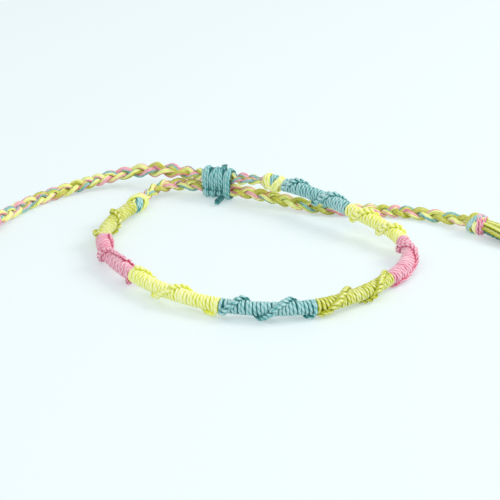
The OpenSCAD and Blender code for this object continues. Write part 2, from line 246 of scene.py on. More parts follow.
class Skein:
    """Gathers the threads of one piece and makes them a mesh. Its sizes are in mm."""

    def __init__(self, settings, seed):
        self.settings = settings
        self.chance = np.random.RandomState(seed)
        self.points = []
        self.faces = []
        self.uvs = []
        self.shades = []
        self.count = 0

    def lay(self, path, out, shade, width=None, height=None, spacing=RING_GAP, sides=RING_POINTS,
            girth=None, buried=False):
        """One twisted thread along a path. Out is where its flat side faces and where its painted highlight
        lies.
        """
        look = self.settings.thread
        width = (width or look.width / MM) / 2
        height = (height or look.height / MM) / 2
        girth = np.ones((len(path), 1)) if girth is None else np.reshape(girth, (-1, 1))
        path, out, girth, run = even(path, spacing, out, girth)
        ahead = unit(np.gradient(path, axis=0))
        side = unit(np.cross(ahead, out))
        rise = np.cross(side, ahead)
        phase = self.chance.uniform(0, 2 * math.pi)
        marks = np.arange(0, run[-1] + 2, SWELL_GAP)
        swell = 1 + look.unevenness * np.interp(run, marks, self.chance.uniform(-1, 1, len(marks)))
        swell = swell * girth[:, 0]
        a = 2 * math.pi * np.arange(sides) / sides
        turn = 2 * math.pi * run[:, None] / (look.twist / MM) + phase
        lobes = (1 + look.ply_depth * np.cos(look.plies * (a[None, :] - turn))) * swell[:, None]
        ring = path[:, None] + (width * np.cos(a) * lobes)[..., None] * side[:, None]
        ring = ring + (height * np.sin(a) * lobes)[..., None] * rise[:, None]
        self.skin(ring.reshape(-1, 3), run, sides, shade, buried)

    def skin(self, points, run, sides, shade, buried):
        """Faces round the rings of a thread and over its ends, each marked with its place on the thread."""
        rings = len(run)
        i, j = np.meshgrid(np.arange(rings - 1), np.arange(sides), indexing="ij")
        near, far = i * sides + j, i * sides + (j + 1) % sides
        quads = np.stack([near, far, far + sides, near + sides], -1).reshape(-1, 4) + self.count
        across, along = (j / sides).reshape(-1), run[i].reshape(-1)
        across_on, along_on = ((j + 1) / sides).reshape(-1), run[i + 1].reshape(-1)
        start = self.chance.uniform(0, START_RANGE)
        uv = np.stack([along, across, along, across_on, along_on, across_on, along_on, across], -1)
        uv[:, 0::2] += start
        # A buried thread is painted all over in the shade of a thread's underside
        if buried:
            uv[:, 1::2] = SHADED_UNDERSIDE
        self.points.append(points)
        self.faces += quads.tolist()
        self.uvs.append(uv.reshape(-1, 2))
        for first, place, order in ((0, run[0], -1), (len(points) - sides, run[-1], 1)):
            self.faces.append([self.count + first + k for k in range(sides)][::order])
            self.uvs.append(np.tile([start + place, 0.5], (sides, 1)))
        self.shades += [shade] * (len(quads) + 2)
        self.count += len(points)

    def piece(self, name, slot, *nodes):
        """Makes the object, which stands for its nodes and rides on the bracelet."""
        mesh = bpy.data.meshes.new(name)
        mesh.from_pydata((np.vstack(self.points) * MM).tolist(), [], self.faces)
        places = np.vstack(self.uvs).reshape(-1).astype(np.float32)
        mesh.uv_layers.new(name=UV_NAME).data.foreach_set("uv", places)
        used = sorted(set(self.shades))
        for shade in used:
            mesh.materials.append(bpy.data.materials[f"{shade}_cotton"])
        mesh.polygons.foreach_set("material_index", [used.index(shade) for shade in self.shades])
        mesh.shade_smooth()
        made = bpy.data.objects.new(name, mesh)
        bpy.context.scene.collection.objects.link(made)
        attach(made, BODY)
        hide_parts(*nodes)


class Wire:
    """A number that leaves a node's socket. Sums of wires and numbers add Math nodes."""

    def __init__(self, recipe, socket):
        self.recipe = recipe
        self.socket = socket

    def output(self, key):
        """Another output of the same node."""
        return Wire(self.recipe, self.socket.node.outputs[key])

    def math(self, operation, *values):
        """What a Math node makes of the values."""
        return self.recipe.add("ShaderNodeMath", {"operation": operation}, dict(enumerate(values)))

    def sine(self):
        return self.math("SINE", self)

    def cosine(self):
        return self.math("COSINE", self)

    def __add__(self, other):
        return self.math("ADD", self, other)

    def __radd__(self, other):
        return self.math("ADD", other, self)

    def __sub__(self, other):
        return self.math("SUBTRACT", self, other)

    def __rsub__(self, other):
        return self.math("SUBTRACT", other, self)

    def __mul__(self, other):
        return self.math("MULTIPLY", self, other)

    def __rmul__(self, other):
        return self.math("MULTIPLY", other, self)


class Recipe:
    """A material and the nodes in it."""

    def __init__(self, name):
        self.material = bpy.data.materials.new(name)
        self.material.use_nodes = True
        self.tree = self.material.node_tree
        self.tree.nodes.clear()

    def add(self, kind, settings, sockets):
        """Adds a node: settings first, then its sockets' values or wires. Gives back its first output."""
        node = self.tree.nodes.new(kind)
        for key, value in settings.items():
            if key == "stops":
                self.set_stops(node.color_ramp, value)
            else:
                setattr(node, key, value)
        for key, value in sockets.items():
            if isinstance(value, Wire):
                self.tree.links.new(value.socket, node.inputs[key])
            else:
                node.inputs[key].default_value = value
        return Wire(self, node.outputs[0]) if node.outputs else None

    def set_stops(self, ramp, stops):
        """Gives a colour ramp its stops, each a place and a colour."""
        for place, _ in stops[2:]:
            ramp.elements.new(place)
        for stop, (place, colour) in zip(ramp.elements, stops):
            stop.position = place
            stop.color = colour

    def finish(self, sockets):
        """Ends the material in a Principled shader with these values and wires."""
        shader = self.add("ShaderNodeBsdfPrincipled", {}, sockets)
        self.add("ShaderNodeOutputMaterial", {}, {"Surface": shader})
        return self.material


# What painted shade on a thread's sides and underside, painted shade in its grooves between plies and
# between yarns, its fibres and its dye each add to the depth of its colour
SIDE_SHADE = 0.4
PLY_GROOVE_SHADE = 0.26
YARN_GROOVE_SHADE = 0.1
FIBRE_DEPTH = 0.5
DYE_DEPTH = 0.45
# Depths where the colour has its painted highlight, is plain, has its painted shade and has its deepest
# painted shade, and how much deeper the last shade is than the first
COLOUR_AT = (0.36, 0.56, 0.74, 0.94)
DEEPEST_SHADE = 2.8
# The grain of the fibres along and round a thread, its noise, and that of the dye
GRAIN_ALONG = 0.9
GRAIN_ROUND = 2.4
FIBRE_NOISE = {"Scale": 2.6, "Detail": 4.0, "Roughness": 0.65}
DYE_NOISE = {"Scale": 260.0, "Detail": 2.0, "Roughness": 0.5}
# How high plies, yarns and fibres stand in the bump, and what the fibres add to the roughness
PLY_HEIGHT = 0.5
YARN_HEIGHT = 0.2
FIBRE_HEIGHT = 0.55
ROUGHNESS = 0.42
FIBRE_ROUGHNESS = 0.3
# Painted highlight on the crests of the sliding knot's threads, as a share of the other threads'
SLIDER_HIGHLIGHT = 0.8


def richer(colour, strength):
    """A darker, richer shade of a colour, painted on a thread's sides and in its grooves where shade falls.
    """
    return tuple(c ** (1 + strength) for c in colour) + (1,)


def cotton(name, colour, painted_highlight, settings):
    """Mercerised cotton: twisted plies of fine fibre with a soft gloss, a little uneven in its dye, with a
    painted highlight on its crests and painted shade on its sides and in its grooves.
    """
    look = settings.thread
    recipe = Recipe(f"{name}_cotton")
    place = recipe.add("ShaderNodeUVMap", {"uv_map": UV_NAME}, {})
    along = recipe.add("ShaderNodeSeparateXYZ", {}, {0: place})
    across = along.output(1)
    # Crest is 1 on top of a thread and -1 underneath: the sides and underside are painted in shade
    crest = (across * (2 * math.pi)).sine()
    angle = (across - along * (MM / look.twist)) * (2 * math.pi)
    plies = (angle * look.plies).cosine() * 0.5 + 0.5
    yarns = (angle * look.yarns).cosine() * 0.5 + 0.5
    spun = {0: along * GRAIN_ALONG, 1: angle.cosine() * GRAIN_ROUND, 2: angle.sine() * GRAIN_ROUND}
    grain = recipe.add("ShaderNodeCombineXYZ", {}, spun)
    fibre = recipe.add("ShaderNodeTexNoise", {}, {"Vector": grain, **FIBRE_NOISE})
    spot = recipe.add("ShaderNodeTexCoord", {}, {}).output("Object")
    dye = recipe.add("ShaderNodeTexNoise", {}, {"Vector": spot, **DYE_NOISE})
    # Painted shade on the sides, underside and grooves, together with the fibres and the uneven dye
    depth = (1 - crest) * SIDE_SHADE + (1 - plies) * PLY_GROOVE_SHADE + (1 - fibre) * FIBRE_DEPTH
    depth = depth + (dye - 0.5) * DYE_DEPTH + (1 - yarns) * YARN_GROOVE_SHADE
    # Painted highlight: the crests paled towards white
    pale = tuple(c + (1 - c) * painted_highlight for c in colour) + (1,)
    # Painted highlight, plain colour, painted shade, and the deepest painted shade
    colours = (pale, (*colour, 1), richer(colour, look.depth), richer(colour, look.depth * DEEPEST_SHADE))
    base = recipe.add("ShaderNodeValToRGB", {"stops": tuple(zip(COLOUR_AT, colours))}, {"Fac": depth})
    height = plies * PLY_HEIGHT + yarns * YARN_HEIGHT + fibre * FIBRE_HEIGHT
    bump = recipe.add("ShaderNodeBump", {}, {"Strength": 0.7, "Distance": 0.03 * MM, "Height": height})
    recipe.finish(
        {
            "Base Color": base,
            "Roughness": ROUGHNESS + fibre * FIBRE_ROUGHNESS,
            "Normal": bump,
            "Sheen Weight": 0.25,
            "Sheen Roughness": 0.4,
            "Specular IOR Level": 0.4,
        }
    )


def length_setting(name, description, mm):
    """A setting that is a length in mm."""
    return FloatProperty(name=name, description=description, default=mm * MM, unit="LENGTH", precision=5)


def colour_setting(name, description, default):
    """A setting that is a colour."""
    return FloatVectorProperty(name=name, description=description, default=default, subtype="COLOR", size=3)


def share_setting(name, description, default):
    """A setting that is a share."""
    return FloatProperty(name=name, description=description, default=default, subtype="FACTOR")


class ThreadSettings(bpy.types.PropertyGroup):
    """The cotton thread that everything is made of."""

    width: length_setting("Width", "Width of a thread where it is pressed flat", 0.66)
    height: length_setting("Height", "Thickness of a thread where it is pressed flat", 0.56)
    twist: length_setting("Twist", "Length in which the plies of a thread turn once", 3.6)
    plies: IntProperty(name="Plies", description="Number of plies twisted together in a thread", default=3)
    yarns: IntProperty(name="Yarns", description="Number of fine yarns round a thread", default=15)
    ply_depth: share_setting("Ply depth", "Depth of the grooves, as a share of the width", 0.085)
    unevenness: share_setting("Unevenness", "How much the thickness of a thread varies", 0.05)
    # How deep the painted shade on a thread's sides and in its grooves is
    depth: FloatProperty(name="Depth of colour", description="How much richer the colour is in the grooves",
                         default=0.65)
    # Painted highlight: how far a thread's crests are paled towards white
    painted_highlight: share_setting("Lustre", "How far the crests of a thread are paled", 0.4)
    lemon: colour_setting("Lemon", "Colour of the lemon cotton", (0.90, 0.91, 0.26))
    olive: colour_setting("Olive", "Colour of the olive cotton", (0.65, 0.66, 0.05))
    pink: colour_setting("Pink", "Colour of the pink cotton", (0.81, 0.32, 0.43))
    teal: colour_setting("Teal", "Colour of the teal cotton", (0.20, 0.51, 0.51))
    slider: colour_setting("Slider", "Colour of the sliding knot", (0.16, 0.48, 0.48))
    core: colour_setting("Core", "Colour of the threads inside the band", (0.5, 0.5, 0.2))


class BandSettings(bpy.types.PropertyGroup):
    """The band of spiral hitches."""

    body: length_setting("Body", "Diameter of the round body of the band", 2.8)
    ridge: length_setting("Ridge", "Height of the ridge of hitches above the body", 0.85)
    pitch: length_setting("Pitch", "Distance from one hitch to the next", 0.63)
    swell: share_setting("Swell", "Share by which the thread is thicker on the ridge", 0.3)


class TieSettings(bpy.types.PropertyGroup):
    """The braided ties."""

    swing_side: length_setting("Side swing", "Swing of a strand to either side of the braid", 0.85)
    swing_rise: length_setting("Rise", "Swing of a strand above and below the middle of the braid", 0.55)
    gather: length_setting("Gather", "Length in which the strands draw together before a knot", 3.2)
    lean: FloatProperty(name="Lean", description="Angle at which the flat of the braid leans to the front",
                        default=math.radians(35), subtype="ANGLE")
    spread: length_setting("Spread", "Half the width of the oval that a strand's threads lie on", 0.42)
    stack: length_setting("Stack", "Half the thickness of that oval", 0.12)
    lemon: colour_setting("Lemon", "Colour of the lemon cotton in the braids", (0.84, 0.87, 0.28))
    olive: colour_setting("Olive", "Colour of the olive cotton in the braids", (0.55, 0.55, 0.035))
    pink: colour_setting("Pink", "Colour of the pink cotton in the braids", (0.84, 0.37, 0.43))
    teal: colour_setting("Teal", "Colour of the teal cotton in the braids", (0.21, 0.49, 0.45))
    # Painted highlight on the crests of braided threads, less than on the other threads
    painted_highlight: share_setting("Lustre", "How far the crests of braided threads are paled", 0.14)
    thread_w: length_setting("Thread width", "Width of a thread in a strand", 0.54)
    thread_h: length_setting("Thread height", "Thickness of a thread in a strand", 0.36)


class StageSettings(bpy.types.PropertyGroup):
    """The table, the light and the camera."""

    elevation: FloatProperty(name="Elevation", description="Angle of the camera above the table",
                             default=math.radians(23), subtype="ANGLE")
    distance: FloatProperty(name="Distance", description="Distance from the camera to where it looks",
                            default=0.4, unit="LENGTH")
    lens: FloatProperty(name="Lens", description="Focal length of the camera in mm", default=144)
    table: FloatProperty(name="Table", description="Width of the table top", default=6.0, unit="LENGTH")
    table_colour: colour_setting("Table colour", "Colour of the table", (0.50, 0.548, 0.553))
    table_glow: FloatProperty(name="Table glow", description="Light that the table gives off", default=0.65)
    sky: FloatProperty(name="Sky", description="Strength of the light from all round", default=0.7)
    window: FloatProperty(name="Window", description="Power of the soft light from the right", default=2.0)
    fill: FloatProperty(name="Fill", description="Power of the broad light from the front", default=1.6)


class BraceletSettings(bpy.types.PropertyGroup):
    """All the settings of the bracelet."""

    thread: PointerProperty(type=ThreadSettings)
    band: PointerProperty(type=BandSettings)
    tie: PointerProperty(type=TieSettings)
    stage: PointerProperty(type=StageSettings)


# One hitch: angle from the ridge in degrees, place in pitches, height in shares of the ridge
HITCH = (
    (4, -0.95, 0.40), (5, -0.68, 0.76), (4, -0.28, 0.93), (1, 0.15, 0.95), (0, 0.52, 0.83), (5, 0.78, 0.56),
    (19, 0.88, 0.28), (38, 0.80, 0.08), (62, 0.65, 0), (90, 0.51, 0), (120, 0.37, 0), (155, 0.22, 0),
    (195, 0.05, 0), (235, -0.12, 0), (275, -0.28, 0), (308, -0.41, 0.04), (328, -0.48, 0.15),
    (342, -0.52, 0.24), (352, -0.53, 0.30),
)
# Share of the ridge's height from which a point of a hitch lies on the ridge
ON_RIDGE = 0.1
# How far hitches stray: along as a share of the pitch, in height as a share, and round in degrees
HITCH_NUDGE = (0.1, 0.1, 6)
# How far a whole hitch sways along the band, and how far each point of it strays, as shares of the pitch
HITCH_SWAY = 0.14
HITCH_STRAY = 0.09
# Hitches near a band's ends: pitches over which they are squeezed, and share of height that they keep
HITCH_EASE = 0.95
HITCH_LOW = 0.55
# Ends of a band's thread: degrees that they go on round it, and depth of the tuck as a share of the thread
BAND_TUCK_TURN = 40
BAND_TUCK = 0.6
# Filling inside a band, in mm: width, distance between its rings, and how much it is shorter at each end.
# It is painted wholly in shade, which shows between the hitches
FILLING = 2.15
FILLING_GAP = 0.5
FILLING_SHORT = 0.1


def hitched_band(skein, start, length, turns, shade, settings):
    """A row of half hitches, each a loop round the core that ends under its own bridge on the ridge."""
    band, thread = settings.band, settings.thread
    count = round(length / (band.pitch / MM))
    step = (length - SEAM) / count
    base = (band.body - thread.height) / 2 / MM
    margin = thread.width / MM / 2
    turns = np.array(turns)
    keys = []
    for k in range(count):
        middle = start + (k + 0.5) * step
        ridge = np.interp(middle - start, turns[:, 0], turns[:, 1])
        along, taller, turned = skein.chance.uniform(-1, 1, 3) * HITCH_NUDGE
        sway, phase = skein.chance.uniform(-HITCH_SWAY, HITCH_SWAY, 2)
        room = min(middle - start, start + length - SEAM - middle) - margin
        ease = min(max(room / (HITCH_EASE * step), 0), 1)
        for angle, place, lift in HITCH:
            stray = skein.chance.uniform(-HITCH_STRAY, HITCH_STRAY)
            stray = stray + sway * math.sin(math.radians(angle + 360 * phase))
            s = middle + (place + along + stray) * step * ease
            high = lift * (HITCH_LOW + (1 - HITCH_LOW) * ease) * (1 + taller)
            turn = ridge + angle + turned * (lift > ON_RIDGE) + 360 * k
            keys.append((turn, s, base + high * band.ridge / MM, 1 + band.swell * lift))
    keys = np.array(keys)
    first, last = keys[0] - (BAND_TUCK_TURN, 0, 0, 0), keys[-1] + (BAND_TUCK_TURN, 0, 0, 0)
    first[2] = last[2] = base - thread.height / MM * BAND_TUCK
    rows = smooth(np.vstack([first, keys, last]))
    path, out = COURSE.place(rows)
    skein.lay(path, out, shade, girth=rows[:, 3])
    s = np.linspace(start + FILLING_SHORT, start + length - SEAM - FILLING_SHORT, int(length / FILLING_GAP))
    skein.lay(COURSE.at(s), COURSE.outward(s), shade, FILLING, FILLING, spacing=FILLING_GAP, buried=True)


class BRACELET_OT_cottons(bpy.types.Operator):
    """Mix the cottons: the material of each colour of thread"""

    bl_idname = "bracelet.cottons"
    bl_label = "Cottons"

    def execute(self, context):
        settings = context.scene.bracelet
        thread, tie = settings.thread, settings.tie
        for name in COTTONS:
            cotton(name, getattr(thread, name), thread.painted_highlight, settings)
            cotton(f"{name}_braid", getattr(tie, name), tie.painted_highlight, settings)
        cotton("core", thread.core, thread.painted_highlight, settings)
        cotton("slider", thread.slider, thread.painted_highlight * SLIDER_HIGHLIGHT, settings)
        return {"FINISHED"}


class BRACELET_OT_bands(bpy.types.Operator):
    """Wrap the eight bands of spiral hitches round the loop"""

    bl_idname = "bracelet.bands"
    bl_label = "Hitched bands"

    def execute(self, context):
        settings = context.scene.bracelet
        start = BAND_START
        for i, (node, shade, length, turns) in enumerate(BANDS):
            skein = Skein(settings, seed=i)
            hitched_band(skein, start, length, turns, shade, settings)
            skein.piece(f"{node}_hitches", f"{shade}_thread", node)
            start += length
        return {"FINISHED"}


class BRACELET_OT_core(bpy.types.Operator):
    """Give the bundle of threads inside the band its cotton"""

    bl_idname = "bracelet.core"
    bl_label = "Core"

    def execute(self, context):
        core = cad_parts["core_threads"]
        core.data.materials.clear()
        core.data.materials.append(bpy.data.materials["core_cotton"])
        return {"FINISHED"}


# How far a tie reaches into its knots, in mm
TIE_REACH = 0.9
LEFT_TIE = (RIGHT_END + END_KNOT - TIE_REACH, BAND_START - BAND_KNOT - SEAM + TIE_REACH)
RIGHT_TIE = (BAND_END + BAND_KNOT - TIE_REACH, LEFT_END + TIE_REACH)
# Ties: start and end along the route, which way a strand rises as it swings, how many times longer it
# gathers at the start and at the end, and the swing
TIES = {"left": (*LEFT_TIE, -1, 1, 2.6, LEFT_SWING), "right": (*RIGHT_TIE, 1, 1.8, 1, RIGHT_SWING)}
# Share of its swing that a strand keeps at a knot, and mm to either side that tell its direction
SWING_AT_KNOT = 0.3
STRAND_PROBE = 0.1
# The oval of a strand's threads at the sides of the braid: share by which it is narrower, and thicker
OVAL_NARROWER = 0.15
OVAL_THICKER = 0.5
# Threads of a strand: mm between rings, points round a ring, least height of a middle in mm, how far they
# sway round the oval in radians, mm to a sway, and how far their flat side turns with the oval
STRAND_STEP = 0.3
STRAND_SIDES = 10
STRAND_LOWEST = 0.26
SWAY = 0.1
SWAY_RUN = 6.1
FLAT_TURN = 0.35


def looseness(s):
    """How much wider a braid is at a place along the route."""
    return 1 + LOOSE * bell(s, LOOSE_AT, LOOSE_REACH)


def strand_line(s, third, side, tie):
    """Middle of a braid's strand, directions across its width and thickness, and its share of the swing."""
    start, end, opens, first_gather, last_gather, swing = TIES[side]
    lean = math.degrees(tie.lean)
    gather = tie.gather / MM
    swing = np.array(swing, float)

    def middle(s):
        a = np.radians(np.interp(s, swing[:, 0], swing[:, 1]) + 120 * third)
        room = np.minimum((s - start) / (gather * first_gather), (end - s) / (gather * last_gather))
        room = np.clip(room, 0, 1)
        near = looseness(s) * (SWING_AT_KNOT + (1 - SWING_AT_KNOT) * (3 * room**2 - 2 * room**3))
        aside = (near * tie.swing_side / MM * np.sin(a))[:, None] * COURSE.around(s, lean)
        rise = (near * tie.swing_rise / MM * np.sin(2 * a))[:, None] * COURSE.around(s, lean + 90)
        return COURSE.at(s) + aside + opens * rise, np.sin(a) ** 2

    ahead = unit(middle(s + STRAND_PROBE)[0] - middle(s - STRAND_PROBE)[0])
    wide = unit(np.cross(COURSE.around(s, lean + 90), ahead))
    line, swung = middle(s)
    return line, wide, np.cross(wide, ahead), swung


def braid_strand(skein, third, side, cottons, tops, settings):
    """The threads of one strand of a braid, laid round a flat oval that turns as the table of tops says."""
    tie = settings.tie
    start, end = TIES[side][:2]
    s = np.linspace(start, end, int((end - start) / STRAND_STEP))
    middle, wide, thick, swung = strand_line(s, third, side, tie)
    tops = np.array(tops, float)
    on_top = np.interp(s, tops[:, 0], tops[:, 1])
    spread = tie.spread / MM * (1 - OVAL_NARROWER * swung) * looseness(s)
    stack = tie.stack / MM * (1 + OVAL_THICKER * swung)
    cottons = cottons.split()
    for k, name in enumerate(cottons):
        a = -math.pi / 2 - 2 * math.pi * (k - on_top) / len(cottons)
        a = a + SWAY * np.sin(2 * math.pi * (s / SWAY_RUN + k / 3))
        path = middle + (spread * np.cos(a))[:, None] * wide + (stack * np.sin(a))[:, None] * thick
        path[:, 2] = np.maximum(path[:, 2], STRAND_LOWEST)
        out = unit(np.sin(a)[:, None] * thick + FLAT_TURN * np.cos(a)[:, None] * wide)
        width, height = tie.thread_w / MM, tie.thread_h / MM
        skein.lay(path, out, f"{name}_braid", width, height, spacing=STRAND_STEP, sides=STRAND_SIDES)


class BRACELET_OT_ties(bpy.types.Operator):
    """Braid the two ties from three strands each"""

    bl_idname = "bracelet.ties"
    bl_label = "Braided ties"

    def execute(self, context):
        settings = context.scene.bracelet
        for i, (node, third, slot, cottons, tops) in enumerate(STRANDS):
            skein = Skein(settings, seed=20 + i)
            braid_strand(skein, third, node.split("_")[0], cottons, tops, settings)
            skein.piece(f"{node}_threads", slot, node)
        return {"FINISHED"}


# A knot's outline: share of its length, and share of its radius
KNOT_SHAPE = ((0, 0.62), (0.14, 0.88), (0.32, 1), (0.5, 0.98), (0.68, 1), (0.86, 0.88), (1, 0.62))
# Cottons of the stems that run through a knot
STEMS = ("olive", "lemon", "teal", "olive", "lemon", "pink", "olive", "lemon", "teal")

# One winding: cotton, threads side by side, place and slant as shares of the knot's length, the angle at
# which it lies farthest along, and its height above the others in mm
BAND_LEFT = (
    ("teal", 1, 0.1, 0.04, 90, 0), ("teal", 3, 0.66, 0.28, 225, 0),
    ("lemon_braid", 3, 0.4, 0.2, 280, 0.05), ("lemon_braid", 3, 0.5, 0.28, 10, 0.16),
    ("pink_braid", 1, 0.2, 0.1, 325, 0.1), ("olive", 1, 0.97, 0, 0, -0.1),
)
BAND_RIGHT = (
    ("olive", 1, 0.03, 0, 0, 0), ("lemon", 3, 0.24, 0.18, 270, 0.1), ("teal", 2, 0.45, 0.06, 90, -0.1),
    ("lemon", 2, 0.62, 0.16, 90, 0.15), ("olive", 1, 0.86, 0.05, 90, 0), ("pink", 1, 0.97, 0, 0, -0.05),
)
END_KNOT_WINDINGS = (
    ("olive_braid", 3, 0.7, 0.14, 229, 0.1), ("lemon", 2, 0.32, 0.1, 225, 0.02),
    ("teal", 2, 0.5, 0.24, 225, 0.14), ("lemon", 1, 0.16, 0.08, 20, -0.35),
    ("pink", 3, 0.22, 0.13, 20, 0.14),
)
# Knots: node, start along the route, length, diameter, and windings
KNOTS = (
    ("band_knot_left", BAND_START - BAND_KNOT - SEAM, BAND_KNOT, 3.7, BAND_LEFT),
    ("band_knot_right", BAND_END, BAND_KNOT, 3.7, BAND_RIGHT),
    ("end_knot_right", RIGHT_END, END_KNOT, 4.2, END_KNOT_WINDINGS),
    ("end_knot_left", LEFT_END, END_KNOT, 4.2, END_KNOT_WINDINGS),
)

# A winding: the angle where it starts under the knot, the degrees that it goes round, its steps, and the
# degrees in which it comes up from its tuck
WINDING_FROM = 285
WINDING_TURN = 390
WINDING_STEPS = 66
TUCK_EASE = 25
# In mm: between threads side by side, depth of a thread's middle, depth of a tuck, and a thread's size
WINDING_GAP = 0.6
WINDING_SUNK = 0.33
WINDING_TUCK = 0.7
WINDING_THREAD = (0.68, 0.62)
# As shares of the knot's length: how far it waves, and the first and last place that it may have
WINDING_WAVE = 0.03
WINDING_ENDS = (0.04, 0.96)
# The stems that the windings lie on: first and last place as shares of the knot's length, share of the
# knot's radius, less a depth in mm, twist in degrees, size in mm, and steps
STEM_ENDS = (0.02, 0.98)
STEM_SHARE = 0.95
STEM_SUNK = 0.72
STEM_TWIST = 60
STEM_THREAD = (0.8, 0.8)
STEM_STEPS = 24


def knot_radius(share, diameter):
    """Distance of a knot's outside from the route."""
    shape = np.array(KNOT_SHAPE)
    return diameter / 2 * np.interp(share, shape[:, 0], shape[:, 1])


def winding(skein, start, length, diameter, row):
    """Threads side by side that go once round a knot, with their ends tucked in underneath."""
    shade, count, place, slant, ahead_at, rise = row
    turn = np.linspace(0, WINDING_TURN, WINDING_STEPS)
    angle = turn + WINDING_FROM
    tuck = np.clip(np.minimum(turn, WINDING_TURN - turn) / TUCK_EASE, 0, 1)
    for k in range(count):
        beside = (k - (count - 1) / 2) * WINDING_GAP / length
        wave = WINDING_WAVE * np.sin(np.radians(2 * angle + skein.chance.uniform(0, 360)))
        share = place + beside + slant * np.cos(np.radians(angle - ahead_at)) + wave
        share = np.clip(share, *WINDING_ENDS)
        radius = knot_radius(share, diameter) - WINDING_SUNK + rise - WINDING_TUCK * (1 - tuck)
        path, out = COURSE.place(np.stack([angle, start + share * length, radius], -1))
        skein.lay(path, out, shade, *WINDING_THREAD)


class BRACELET_OT_knots(bpy.types.Operator):
    """Tie the knots at the ends of the band and of the ties"""

    bl_idname = "bracelet.knots"
    bl_label = "Knots"

    def execute(self, context):
        settings = context.scene.bracelet
        for i, (node, start, length, diameter, windings) in enumerate(KNOTS):
            skein = Skein(settings, seed=40 + i)
            for k, shade in enumerate(STEMS):
                share = np.linspace(*STEM_ENDS, STEM_STEPS)
                radius = knot_radius(share, diameter) * STEM_SHARE - STEM_SUNK
                angle = 360 * k / len(STEMS) + STEM_TWIST * share
                path, out = COURSE.place(np.stack([angle, start + share * length, radius], -1))
                skein.lay(path, out, shade, *STEM_THREAD)
            for row in windings:
                winding(skein, start, length, diameter, row)
            skein.piece(f"{node}_windings", "mixed_thread", node)
        return {"FINISHED"}


# Bars of the sliding knot: place along the ties, how far the top leans along them, threads side by side,
# and how much it is nipped in low down at the front. All its sizes are in mm, and its angles in degrees
BARS = ((2.42, 0.05, 3, 1), (0.78, -0.32, 3, 1), (-0.8, 0.3, 3, 1), (-2.38, -0.05, 3, 0))
# From a tie's middle to the inside of the knot, and from there to its outside
SLIDER_BORE = 1.45
SLIDER_THICK = 0.8
# Threads of a bar: size, distance between two, depth of their middle, and how much lower the outer ones lie
BAR_THREAD = (0.62, 0.6)
BAR_GAP = 0.52
BAR_SUNK = 0.3
BAR_EDGE = 0.35
# Threads under the bars: places along the ties, size, height over the bore, share of the nip that they
# take, and the place along the ties that they take it from. They are painted wholly in shade, which shows
# in the nip and between the bars
UNDER_AT = (-2.8, 2.8, 11)
UNDER_THREAD = (0.8, 0.46)
UNDER_RISE = 0.24
UNDER_NIP = 0.55
UNDER_NIP_FROM = -1.6
# One loop: where it starts, steps of each half, depth of its tucked ends, and how much and often it waves
LOOP_FROM = -6
LOOP_STEPS = 63
LOOP_TUCK = (0.5, 0.4, 0.3)
LOOP_WAVE = 0.06
LOOP_WAVES = 3
# The nip: angle, depth and width
NIP_AT = 188
NIP_DEEP = 0.95
NIP_WIDE = 9
# Where the threads of a bar are drawn together, over what width, and by what share
DRAWN_AT = (100, 236)
DRAWN_WIDE = 24
DRAWN = 0.5
# Cut ends of the sliding knot: place along the ties, out, height over the middle of the loop, and length
TOP_END = (-1.2, 0.3, -0.3, 1.3)
LOW_END = (-1.35, -1.6, 0.5, 3.1)
# Their threads: number, size, distance from the end's middle, share by which they spread, least share of
# the length, and steps
END_THREADS = 4
END_THREAD = (0.66, 0.62)
END_RING = 0.26
END_SPREAD = 0.25
END_SHORT = 0.86
END_STEPS = 12


